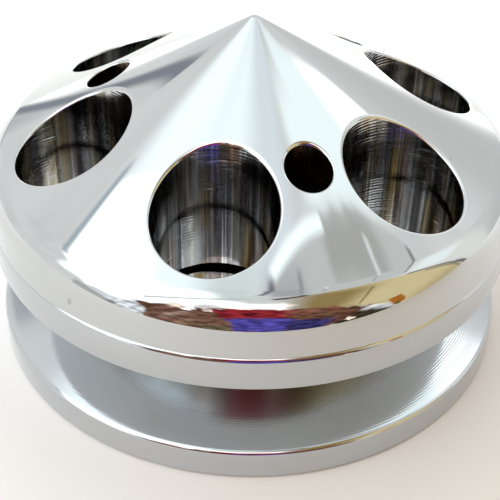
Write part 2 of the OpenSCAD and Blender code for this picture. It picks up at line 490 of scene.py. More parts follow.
class Shape:
    """A mesh being made, with the operators that this part needs."""

    def __init__(self) -> None:
        """Starts empty."""
        self.mesh = bmesh.new()

    def outline(self, points: Sequence[Point], closed: bool = False) -> "Shape":
        """Draws a section outline in the XZ plane."""
        verts = [self.mesh.verts.new((x, 0, z)) for x, z in points]
        pairs = list(zip(verts, verts[1:])) + ([(verts[-1], verts[0])] if closed else [])
        for pair in pairs:
            self.mesh.edges.new(pair)
        return self

    def round_corners(self, radius: float, segments: int, sharper_than: float = 25.0) -> "Shape":
        """Rounds the outline's corners that turn by more than an angle in degrees."""
        corners = []
        for vert in self.mesh.verts:
            if len(vert.link_edges) == 2:
                a, b = (edge.other_vert(vert).co - vert.co for edge in vert.link_edges)
                if math.degrees(a.angle(-b)) > sharper_than:
                    corners.append(vert)
        bmesh.ops.bevel(
            self.mesh, geom=corners, offset=radius, offset_type="OFFSET", segments=segments,
            profile=0.5, affect="VERTICES", material=-1, clamp_overlap=True,
        )
        return self

    def spin(self, steps: int, angle: float = TURN, rise: float = 0.0) -> "Shape":
        """Turns what is drawn about the Z axis, rising along it if asked."""
        geometry = list(self.mesh.verts) + list(self.mesh.edges) + list(self.mesh.faces)
        bmesh.ops.spin(
            self.mesh, geom=geometry, cent=(0, 0, 0), axis=(0, 0, 1), dvec=(0, 0, rise / steps),
            angle=angle, steps=steps, use_merge=(rise == 0.0 and angle == TURN), use_duplicate=False,
        )
        return self.clean()

    def clean(self) -> "Shape":
        """Merges doubles and points every face outwards."""
        bmesh.ops.remove_doubles(self.mesh, verts=self.mesh.verts, dist=1e-7)
        bmesh.ops.dissolve_degenerate(self.mesh, dist=1e-8, edges=self.mesh.edges)
        bmesh.ops.recalc_face_normals(self.mesh, faces=self.mesh.faces)
        return self

    def rings(self, count: int, places: Sequence[Callable[[float], tuple[float, float, float]]]) -> "Shape":
        """Stacks closed rings, each placed by a function of the angle round it, and caps both ends."""
        made = bmesh.ops.create_circle(self.mesh, cap_ends=False, segments=count, radius=1.0)
        ring = made["verts"]
        angles = [TURN * i / count for i in range(count)]
        edges = list({edge for vert in ring for edge in vert.link_edges})
        first = ring
        for i, place in enumerate(places):
            if i:
                lifted = bmesh.ops.extrude_edge_only(self.mesh, edges=edges)["geom"]
                edges = [item for item in lifted if isinstance(item, bmesh.types.BMEdge)]
                edges = [e for e in edges if all(v not in ring for v in e.verts)]
                above = {}
                for old in ring:
                    for edge in old.link_edges:
                        other = edge.other_vert(old)
                        if other not in ring and other in {v for e in edges for v in e.verts}:
                            above[old] = other
                ring = [above[old] for old in ring]
            for vert, angle in zip(ring, angles):
                vert.co = place(angle)
        for loop in (first, ring):
            bmesh.ops.contextual_create(self.mesh, geom=loop)
        return self.clean()

    def move(self, offset: Sequence[float]) -> "Shape":
        """Moves everything."""
        bmesh.ops.translate(self.mesh, verts=self.mesh.verts, vec=Vector(offset))
        return self

    def turn(self, angle: float) -> "Shape":
        """Turns everything about the Z axis."""
        bmesh.ops.rotate(self.mesh, verts=self.mesh.verts, cent=(0, 0, 0), matrix=Matrix.Rotation(angle, 3, "Z"))
        return self

    def to_object(self, name: str) -> bpy.types.Object:
        """Turns the shape into an object in the scene."""
        data = bpy.data.meshes.new(name)
        self.mesh.to_mesh(data)
        self.mesh.free()
        made = bpy.data.objects.new(name, data)
        bpy.context.scene.collection.objects.link(made)
        return made


def combine(body: bpy.types.Object, tools: Iterable[bpy.types.Object], operation: str) -> None:
    """Cuts tools out of a body, or joins them to it, and removes the tools.

    Args:
        body: The object that changes.
        tools: Closed meshes.
        operation: DIFFERENCE or UNION.
    """
    tools = list(tools)
    for tool in tools:
        step = body.modifiers.new(tool.name, "BOOLEAN")
        step.operation = operation
        step.object = tool
        step.solver = "MANIFOLD"
    graph = bpy.context.evaluated_depsgraph_get()
    result = bpy.data.meshes.new_from_object(body.evaluated_get(graph))
    body.modifiers.clear()
    old = body.data
    body.data = result
    bpy.data.meshes.remove(old)
    for tool in tools:
        data = tool.data
        bpy.data.objects.remove(tool)
        bpy.data.meshes.remove(data)


def dress(piece: bpy.types.Object, materials: Sequence[bpy.types.Material], pick: Callable | None = None) -> None:
    """Gives a piece its materials.

    Args:
        piece: The object.
        materials: Its materials, in slot order.
        pick: Returns a face's slot number from its polygon.
    """
    piece.data.materials.clear()
    for material in materials:
        piece.data.materials.append(material)
    for face in piece.data.polygons:
        face.use_smooth = True
        face.material_index = pick(face) if pick else 0


def crease(piece: bpy.types.Object, degrees: float = 30.0) -> None:
    """Marks edges sharper than an angle, so that shading is smooth only below it."""
    piece.data.set_sharp_from_angle(angle=math.radians(degrees))


def settle(piece: bpy.types.Object, body: str, node: str, slot: Slot) -> bpy.types.Object:
    """Hands a finished piece to the frame: what it rides on and which node it stands for."""
    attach(piece, body)
    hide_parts(node)
    log.info("%s: %d faces on %s", piece.name, len(piece.data.polygons), body)
    return piece


def polar(radius: float, angle: float) -> tuple[float, float]:
    """X and Y at a radius and an angle."""
    return radius * math.cos(angle), radius * math.sin(angle)


# ----------------------------------------------------------------- assemblies


@dataclass
class Layout:
    """Places that several pieces share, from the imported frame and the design's own sizes."""

    flange_r: float = field(init=False)
    joint_z: float = field(init=False)
    nose_r: float = field(init=False)
    underside_z: float = field(init=False)
    tip_top_z: float = field(init=False)
    screw_circle_r: float = field(init=False)
    seat_z: float = field(init=False)

    def __post_init__(self) -> None:
        """Reads the nodes' boxes."""
        _, pulley_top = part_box("pulley")
        nose_low, nose_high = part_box("nose_cone")
        screw_low, screw_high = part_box("screw_1")
        self.flange_r = pulley_top.x
        self.joint_z = pulley_top.z
        self.nose_r = nose_high.x
        self.underside_z = nose_low.z
        self.tip_top_z = nose_high.z
        self.screw_circle_r = -(screw_low.y + screw_high.y) / 2
        self.seat_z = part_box("flat_washer")[0].z

    def screw_angle(self, index: int) -> float:
        """The angle of a screw, counted from 1."""
        return FIRST_SCREW_ANGLE + (index - 1) * TURN / SCREW_COUNT

    def near_screw(self, point: Vector) -> float:
        """Distance from a point to the nearest screw's axis."""
        axes = (polar(self.screw_circle_r, self.screw_angle(i + 1)) for i in range(SCREW_COUNT))
        return min(math.hypot(point.x - x, point.y - y) for x, y in axes)

    def window_angle(self, index: int) -> float:
        """The angle of a window, counted from 0."""
        return FIRST_SCREW_ANGLE + (index + 0.5) * TURN / WINDOW_COUNT


@dataclass
class PulleyWheel:
    """The turned pulley: two flanges, the V-groove, the rim, the register recess, the hub and its bore."""

    layout: Layout
    back_flange_h: float = 4.45 * MM
    groove_w: float = 10.75 * MM
    groove_depth: float = 10.5 * MM
    groove_angle: float = math.radians(18)
    chamfer: float = 0.4 * MM
    edge_r: float = 0.75 * MM
    relief_depth: float = 3 * MM
    relief_wall: float = 6.5 * MM
    hub_seat_r: float = 14 * MM
    bore_r: float = 8.5 * MM
    pocket_r: float = 16.5 * MM
    seat_w: float = 2 * MM
    recess_depth: float = 1.85 * MM
    tapped_r: float = 1.55 * MM
    tapped_end_z: float = 9.5 * MM
    steps: int = 288

    def section(self) -> list[Point]:
        """The half section, once round."""
        flange_r, top = self.layout.flange_r, self.layout.joint_z
        mouth_r = flange_r - self.chamfer
        bottom_r = flange_r - self.groove_depth
        groove_top = self.back_flange_h + self.groove_w
        slope = math.tan(self.groove_angle)
        recess_r = self.layout.nose_r - self.seat_w
        recess_z = top - self.recess_depth
        edge_x = flange_r - self.edge_r
        drop = (self.edge_r + (mouth_r - edge_x) * -math.sin(self.groove_angle)) / math.cos(self.groove_angle)
        rolled = arc((edge_x, self.back_flange_h - drop), self.edge_r, 0, math.pi / 2 - self.groove_angle, 10)
        low_bottom = (bottom_r, self.back_flange_h + (mouth_r - bottom_r) * slope)
        high_bottom = (bottom_r, groove_top - (flange_r - bottom_r) * slope)
        high = (flange_r, groove_top)
        return [
            (self.bore_r, 0), (self.hub_seat_r, 0), (self.hub_seat_r, self.relief_depth),
            (flange_r - self.relief_wall, self.relief_depth), (flange_r - self.relief_wall, 0),
            (mouth_r, 0), (flange_r, self.chamfer),
            *rolled, *between(rolled[-1], low_bottom, 12), low_bottom, high_bottom,
            *between(high_bottom, high, 12), high,
            *arc((edge_x, top - self.edge_r), self.edge_r, 0, math.pi / 2, 10), (recess_r, top), (recess_r, recess_z),
            *between((recess_r, recess_z), (self.pocket_r, recess_z), 8),
            (self.pocket_r, recess_z), (self.pocket_r, self.layout.seat_z), (self.bore_r, self.layout.seat_z),
        ]

    def tap_cutter(self, index: int) -> bpy.types.Object:
        """A cutter for one tapped hole, with its countersunk mouth."""
        mouth_z = self.layout.joint_z - self.recess_depth
        sink = 0.3 * MM
        shape = Shape().outline([
            (0, self.tapped_end_z - self.tapped_r * 0.5), (self.tapped_r, self.tapped_end_z),
            (self.tapped_r, mouth_z - sink), (self.tapped_r + 2 * sink, mouth_z + sink), (0, mouth_z + sink),
        ]).spin(48)
        x, y = polar(self.layout.screw_circle_r, self.layout.screw_angle(index))
        return shape.move((x, y, 0)).to_object(f"tap_cutter_{index}")

    def finish_of(self, face: bpy.types.MeshPolygon) -> int:
        """Mirror rims, turned groove and front face, dark tapped holes."""
        reach = math.hypot(face.center.x, face.center.y)
        height = face.center.z
        groove_top = self.back_flange_h + self.groove_w
        if self.back_flange_h < height < groove_top and reach < self.layout.flange_r - 2 * NEAR:
            if reach > self.layout.flange_r - self.groove_depth - NEAR:
                return 1
        if self.layout.near_screw(face.center) < self.tapped_r * 1.02:
            return 3
        return 2 if reach < self.layout.nose_r - self.seat_w - NEAR else 0

    def build(self, finishes: Finishes) -> bpy.types.Object:
        """Makes, drills and dresses the pulley."""
        shape = Shape().outline(self.section(), closed=True).round_corners(0.09 * MM, 3)
        wheel = shape.spin(self.steps).to_object("turned_pulley")
        combine(wheel, [self.tap_cutter(i + 1) for i in range(SCREW_COUNT)], "DIFFERENCE")
        crease(wheel, 35)
        dress(wheel, [finishes.rim, finishes.groove, finishes.face, finishes.drilled], self.finish_of)
        return settle(wheel, "pulley", "pulley", Slot.PULLEY)


@dataclass
class NoseCone:
    """The bullet nose: band, shoulder, cone and tip, six windows and three counterbored screw holes."""

    layout: Layout
    apex_over_tip: float = 0.19 * MM
    band_h: float = 3.7 * MM
    shoulder_r: float = 4.8 * MM
    tip_r: float = 1.4 * MM
    seat_w: float = 2 * MM
    register_gap: float = 0.1 * MM
    cavity_r: float = 14.5 * MM
    cavity_z: float = 34 * MM
    window_r: float = 7.5 * MM
    window_edge: float = 1.7 * MM
    window_lip: float = 0.42 * MM
    screw_lip: float = 0.32 * MM
    counterbore_r: float = 2.85 * MM
    counterbore_z: float = 22 * MM
    clearance_r: float = 1.7 * MM
    steps: int = 360

    def __post_init__(self) -> None:
        """Works out the cone from the shoulder and the apex."""
        self.apex_z = self.layout.tip_top_z + self.apex_over_tip
        self.shoulder_x = self.layout.nose_r - self.shoulder_r
        self.shoulder_z = self.layout.joint_z + self.band_h
        rise = self.apex_z - self.shoulder_z
        reach = math.hypot(self.shoulder_x, rise)
        self.angle = math.atan(rise / self.shoulder_x) - math.asin(self.shoulder_r / reach)
        self.tip_z = self.apex_z - self.tip_r / math.cos(self.angle)
        self.cone_r = self.shoulder_x + self.shoulder_r * math.sin(self.angle)
        self.window_circle_r = self.layout.nose_r - self.seat_w - self.window_edge - self.window_r

    def surface(self, reach: float) -> float:
        """Height of the outside at a distance from the axis."""
        if reach < self.tip_r * math.sin(self.angle):
            return self.tip_z + math.sqrt(self.tip_r**2 - reach**2)
        if reach < self.cone_r:
            return self.apex_z - reach * math.tan(self.angle)
        over = min(reach - self.shoulder_x, self.shoulder_r)
        return self.shoulder_z + math.sqrt(self.shoulder_r**2 - over**2)

    def outward(self, point: Vector) -> Vector | None:
        """The true normal where a point is on the cone, shoulder, tip or band, and None elsewhere."""
        reach = math.hypot(point.x, point.y)
        flat = Vector((point.x, point.y, 0)).normalized() if reach > 1e-7 else Vector((0, 0, 0))
        if abs(reach - self.layout.nose_r) < 2e-6 and point.z <= self.shoulder_z:
            return flat
        if point.z < self.shoulder_z or abs(point.z - self.surface(reach)) > 6e-6:
            return None
        if reach < self.tip_r * math.sin(self.angle):
            return (point - Vector((0, 0, self.tip_z))).normalized()
        if reach < self.cone_r:
            return flat * math.sin(self.angle) + Vector((0, 0, math.cos(self.angle)))
        over = (reach - self.shoulder_x) / self.shoulder_r
        return flat * over + Vector((0, 0, math.sqrt(max(0.0, 1 - over**2))))

    def section(self) -> list[Point]:
        """Half section from the tip down the outside, under the nose and up into its cavity."""
        steep = math.pi / 2 - self.angle
        tip = arc((0, self.tip_z), self.tip_r, math.pi / 2, steep, 10)
        shoulder = arc((self.shoulder_x, self.shoulder_z), self.shoulder_r, steep, 0, 20)
        register_r = self.layout.nose_r - self.seat_w - self.register_gap
        rim, low = self.layout.joint_z, self.layout.underside_z
        ease = 0.1 * MM
        return [
            *tip, *between(tip[-1], shoulder[0], 40), *shoulder,
            *between(shoulder[-1], (self.layout.nose_r, rim + ease), 6),
            (self.layout.nose_r, rim + ease), (self.layout.nose_r - ease, rim), (register_r, rim),
            (register_r, low + ease), (register_r - ease, low), (self.cavity_r + ease, low),
            (self.cavity_r, low + ease), (self.cavity_r, self.cavity_z), (0, self.cavity_z),
        ]

    def hole_cutter(self, name: str, centre: Point, radius: float, lip: float, floor: float) -> bpy.types.Object:
        """A cutter whose top flares into a rounded lip that follows the outside.

        Args:
            name: Name of the cutter.
            centre: X and Y of the hole's axis.
            radius: The hole's radius.
            lip: Radius of the lip.
            floor: Height where the hole ends below.

        Returns:
            The closed cutter.
        """
        top = self.apex_z + 5 * MM

        def ring(spread: float, depth: float | None, level: float = 0.0) -> Callable:
            """A ring that follows the outside at a depth, or lies flat at a level."""

            def place(angle: float) -> tuple[float, float, float]:
                """One point of the ring."""
                x = centre[0] + (radius + spread) * math.cos(angle)
                y = centre[1] + (radius + spread) * math.sin(angle)
                return x, y, level if depth is None else self.surface(math.hypot(x, y)) - depth

            return place

        turns = [math.radians(a) for a in (0, 12, 25, 38, 51, 64, 74, 82)]
        lips = [ring(lip * (1 - math.cos(a)), lip * (1 - math.sin(a))) for a in turns]
        last = lip * (1 - math.cos(turns[-1]))
        flare = last + 0.3 * lip
        places = [ring(0, None, floor), *lips, ring(flare, -0.05 * lip), ring(flare, None, top)]
        return Shape().rings(144, places).to_object(name)

    def cutters(self) -> list[bpy.types.Object]:
        """Every window, counterbore and clearance hole."""
        made = []
        below = self.layout.underside_z - 1 * MM
        for i in range(WINDOW_COUNT):
            centre = polar(self.window_circle_r, self.layout.window_angle(i))
            made.append(self.hole_cutter(f"window_cutter_{i}", centre, self.window_r, self.window_lip, below))
        for i in range(SCREW_COUNT):
            centre = polar(self.layout.screw_circle_r, self.layout.screw_angle(i + 1))
            made.append(self.hole_cutter(
                f"counterbore_cutter_{i}", centre, self.counterbore_r, self.screw_lip, self.counterbore_z))
            drill = Shape().outline([
                (0, below), (self.clearance_r, below), (self.clearance_r, self.counterbore_z + 1 * MM),
                (0, self.counterbore_z + 1 * MM),
            ]).spin(48)
            made.append(drill.move((*centre, 0)).to_object(f"clearance_cutter_{i}"))
        return made

    def finish_of(self, face: bpy.types.MeshPolygon) -> int:
        """Mirror outside and lips, bored walls, turned underside."""
        middle = face.center
        reach = math.hypot(middle.x, middle.y)
        depth = self.surface(min(reach, self.layout.nose_r)) - middle.z
        inside_band = reach < self.layout.nose_r - 12 * NEAR
        if reach > self.cavity_r + 2 * NEAR and middle.z > self.layout.underside_z + 2 * NEAR:
            upright = abs(face.normal.z) < 0.2
            if upright and depth > self.window_lip * 0.7 and inside_band:
                return 3 if self.layout.near_screw(middle) < self.counterbore_r * 1.05 else 1
        if middle.z < self.counterbore_z + NEAR and inside_band:
            return 2
        return 2 if reach < self.cavity_r + 2 * NEAR and depth > 20 * NEAR else 0

    def true_normals(self, piece: bpy.types.Object) -> None:
        """Gives the outside its exact normals, so that reflections in it run true."""
        data = piece.data
        normals = [(0.0, 0.0, 0.0)] * len(data.loops)
        for face in data.polygons:
            if face.material_index:
                continue
            for loop in face.loop_indices:
                found = self.outward(data.vertices[data.loops[loop].vertex_index].co)
                if found and found.dot(face.normal) > 0.9:
                    normals[loop] = tuple(found)
        data.normals_split_custom_set(normals)

    def build(self, finishes: Finishes) -> bpy.types.Object:
        """Makes, drills and dresses the nose."""
        nose = Shape().outline(self.section()).spin(self.steps).to_object("bullet_nose")
        combine(nose, self.cutters(), "DIFFERENCE")
        crease(nose, 32)
        dress(nose, [finishes.mirror, finishes.bore, finishes.face, finishes.drilled], self.finish_of)
        self.true_normals(nose)
        return settle(nose, "nose", "nose_cone", Slot.NOSE)


@dataclass
class Washer:
    """A flat or split washer on an axis parallel to Z."""

    name: str
    node: str
    body: str
    slot: Slot
    bore_r: float
    split: float = 0.0
    lean: float = math.radians(20)

    def build(self, material: bpy.types.Material) -> bpy.types.Object:
        """Makes the ring between its node's lowest and highest corners."""
        low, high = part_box(self.node)
        centre = (low + high) / 2
        outer_r = (high.x - low.x) / 2
        ease = min(0.15 * MM, (high.z - low.z) * 0.2)
        corners = [(self.bore_r, low.z), (outer_r, low.z), (outer_r, high.z), (self.bore_r, high.z)]
        ring = Shape().outline(corners, closed=True).round_corners(ease, 3).spin(96).to_object(self.name)
        if self.split:
            combine(ring, [self.gap(outer_r, (low.z + high.z) / 2, high.z - low.z)], "DIFFERENCE")
        ring.data.transform(Matrix.Translation((centre.x, centre.y, 0)))
        crease(ring, 40)
        dress(ring, [material])
        return settle(ring, self.body, self.node, self.slot)

    def gap(self, outer_r: float, middle_z: float, thickness: float) -> bpy.types.Object:
        """The slanted gap of a split washer."""
        cut = Shape()
        bmesh.ops.create_cube(cut.mesh, size=1.0)
        scale = Matrix.Diagonal((2 * (outer_r - self.bore_r), self.split, 2 * thickness, 1))
        lean = Matrix.Rotation(self.lean, 4, "X")
        place = Matrix.Translation(((self.bore_r + outer_r) / 2, 0, middle_z))
        bmesh.ops.transform(cut.mesh, verts=cut.mesh.verts, matrix=place @ lean @ scale)
        return cut.to_object("gap_cutter")


@dataclass
class HexNut:
    """The shaft nut: hexagon with turned corners and a real internal thread."""

    thread_r: float = 8 * MM
    minor_r: float = 7.2 * MM
    pitch: float = 1.5 * MM
    across_flats: float = 24 * MM
    steps: int = 72

    def build(self, finishes: Finishes) -> bpy.types.Object:
        """Makes the nut where its node is."""
        low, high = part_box("shaft_nut")
        height = high.z - low.z
        corner_r = self.across_flats / 2 / math.cos(math.pi / 6)
        block = Shape()
        bmesh.ops.create_cone(
            block.mesh, cap_ends=True, segments=6, radius1=corner_r, radius2=corner_r, depth=height)
        nut = block.turn(math.pi / 6).move((0, 0, low.z + height / 2)).to_object("hex_nut")
        drop = (corner_r - self.across_flats / 2 + 0.3 * MM) * math.tan(math.pi / 6)
        flat_r = self.across_flats / 2 - 0.3 * MM
        turned = Shape().outline([
            (0, low.z), (flat_r, low.z), (corner_r + 0.01 * MM, low.z + drop),
            (corner_r + 0.01 * MM, high.z - drop), (flat_r, high.z), (0, high.z),
        ]).spin(144).to_object("corner_cutter")
        combine(nut, [turned], "INTERSECT")
        combine(nut, [self.bore_cutter(low.z, high.z)], "DIFFERENCE")
        crease(nut, 20)
        dress(nut, [finishes.zinc])
        return settle(nut, "nut", "shaft_nut", Slot.ZINC)

    def bore_cutter(self, low: float, high: float) -> bpy.types.Object:
        """The threaded hole, as a core with a helical ridge and a countersink at both ends."""
        sink = 0.9 * MM
        over = 0.2 * MM
        wide = self.thread_r + 0.15 * MM
        core = Shape().outline([
            (0, low - over), (wide + over, low - over), (self.minor_r, low + sink - over),
            (self.minor_r, high - sink + over), (wide + over, high + over), (0, high + over),
        ]).spin(self.steps).to_object("bore_cutter")
        combine(core, [thread_ridge(self.minor_r, self.thread_r, self.pitch, low, high, self.steps)], "UNION")
        return core


def thread_ridge(root: float, crest: float, pitch: float, low: float, high: float, steps: int) -> bpy.types.Object:
    """A closed helical ridge with a V section, from just inside root out to crest.

    Args:
        root: Radius at the ridge's foot.
        crest: Radius at its edge.
        pitch: Rise in one turn.
        low: Height where it starts.
        high: Height where it ends.
        steps: Steps in one turn.

    Returns:
        The ridge as an object.
    """
    turns = max(1, math.floor((high - low) / pitch - 0.5))
    start = (low + high) / 2 - turns * pitch / 2
    foot, half = root - 0.12 * (crest - root), pitch * 0.44
    flat = pitch * 0.06
    corners = [(foot, start - half), (crest, start - flat), (crest, start + flat), (foot, start + half)]
    shape = Shape().outline(corners, closed=True)
    ring = list(shape.mesh.verts)
    geometry = ring + list(shape.mesh.edges)
    made = bmesh.ops.spin(
        shape.mesh, geom=geometry, cent=(0, 0, 0), axis=(0, 0, 1), dvec=(0, 0, pitch / steps),
        angle=TURN * turns, steps=steps * turns, use_merge=False, use_duplicate=False,
    )
    last = [item for item in made["geom_last"] if isinstance(item, bmesh.types.BMVert)]
    for loop in (ring, last):
        bmesh.ops.contextual_create(shape.mesh, geom=loop)
    bmesh.ops.recalc_face_normals(shape.mesh, faces=shape.mesh.faces)
    return shape.to_object("thread_ridge")


@dataclass
class CapScrew:
    """One socket-head cap screw: knurled head, hexagon socket, shank and rolled thread."""

    layout: Layout
    index: int
    head_r: float = 2.75 * MM
    head_h: float = 3 * MM
    shank_r: float = 1.5 * MM
    root_r: float = 1.24 * MM
    pitch: float = 0.5 * MM
    socket_flats: float = 2.5 * MM
    knurl_count: int = 36
    knurl_depth: float = 0.09 * MM
    steps: int = 36

    def build(self, finishes: Finishes) -> bpy.types.Object:
        """Makes the screw on the axis, then puts it in its hole."""
        low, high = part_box(f"screw_{self.index}")
        neck = high.z - self.head_h
        ease = 0.25 * MM
        blank = Shape().outline([
            (0, low.z), (self.root_r - ease, low.z), (self.root_r, low.z + ease), (self.root_r, neck - 1.6 * MM),
            (self.shank_r, neck - 1.3 * MM), (self.shank_r, neck), (self.head_r - self.knurl_depth, neck),
            (self.head_r - self.knurl_depth, high.z - ease), (self.head_r - self.knurl_depth - ease, high.z),
            (0, high.z),
        ]).spin(self.knurl_count * 2).to_object(f"cap_screw_{self.index}")
        ridge = thread_ridge(self.root_r, self.shank_r, self.pitch, low.z + ease, neck - 1.3 * MM, self.steps)
        combine(blank, [ridge, self.knurl(neck, high.z)], "UNION")
        combine(blank, [self.socket(high.z)], "DIFFERENCE")
        centre = (low + high) / 2
        turn = Matrix.Rotation(math.radians(17 + 31 * self.index), 4, "Z")
        blank.data.transform(Matrix.Translation((centre.x, centre.y, 0)) @ turn)
        crease(blank, 25)
        dress(blank, [finishes.black])
        return settle(blank, f"screw_{self.index}_body", f"screw_{self.index}", Slot.BLACK)

    def knurl(self, neck: float, top: float) -> bpy.types.Object:
        """The knurled sleeve of the head, one ridge for each pair of points round it."""
        star = Shape()
        made = bmesh.ops.create_circle(star.mesh, cap_ends=True, segments=self.knurl_count * 2, radius=self.head_r)
        for i, vert in enumerate(made["verts"]):
            if i % 2:
                vert.co *= 1 - self.knurl_depth / self.head_r
        bmesh.ops.translate(star.mesh, verts=star.mesh.verts, vec=(0, 0, neck + 0.3 * MM))
        lifted = bmesh.ops.extrude_face_region(star.mesh, geom=list(star.mesh.faces))["geom"]
        moved = [item for item in lifted if isinstance(item, bmesh.types.BMVert)]
        bmesh.ops.translate(star.mesh, verts=moved, vec=(0, 0, top - neck - 0.7 * MM))
        bmesh.ops.recalc_face_normals(star.mesh, faces=star.mesh.faces)
        return star.to_object("knurl")

    def socket(self, top: float) -> bpy.types.Object:
        """The hexagon socket with a drilled bottom and a chamfered mouth."""
        corner_r = self.socket_flats / 2 / math.cos(math.pi / 6)
        depth = self.head_h / 2
        key = Shape()
        bmesh.ops.create_cone(
            key.mesh, cap_ends=True, segments=6, radius1=corner_r, radius2=corner_r, depth=depth + 0.5 * MM)
        hexagon = key.move((0, 0, top - depth / 2 + 0.25 * MM)).to_object("socket_cutter")
        drill = Shape().outline([
            (0, top - depth - 0.6 * MM), (self.socket_flats / 2, top - depth + 0.02 * MM),
            (self.socket_flats / 2, top - 0.12 * MM), (corner_r + 0.1 * MM, top + 0.15 * MM), (0, top + 0.15 * MM),
        ]).spin(48).to_object("socket_drill")
        combine(hexagon, [drill], "UNION")
        return hexagon


# --------------------------------------------------------------------- studio


@dataclass(frozen=True)
class Panel:
    """A soft-edged card of the studio tent, on a plan of the sky.

    The plan puts the zenith in the middle, the camera below it and the right of the picture to the
    right. Places are degrees from the zenith, so the horizon is the circle of radius 90.
    """

    across: float
    along: float
    half_w: float
    half_h: float
    turn: float
    soft: float
    tint: tuple[float, float, float]
    ragged: float = 0.0

    def mask(self, across: Value, along: Value, warp: tuple[Value, Value]) -> Value:
        """1 inside the card, 0 outside, soft at its edges.

        Args:
            across: Degrees to the right of the zenith.
            along: Degrees from the zenith away from the camera.
            warp: Noise round zero that makes a ragged card's outline uneven.

        Returns:
            The card's cover.
        """
        cos, sin = math.cos(math.radians(self.turn)), math.sin(math.radians(self.turn))
        if self.ragged:
            across, along = across + warp[0] * self.ragged, along + warp[1] * self.ragged
        off_x, off_y = across - self.across, along - self.along
        ahead = off_y * cos - off_x * sin
        side = (off_x * cos + off_y * sin).size()
        wide = side.ramp(self.half_w - self.soft, self.half_w + self.soft, 1.0, 0.0)
        high = ahead.size().ramp(self.half_h - self.soft, self.half_h + self.soft, 1.0, 0.0)
        return wide * high


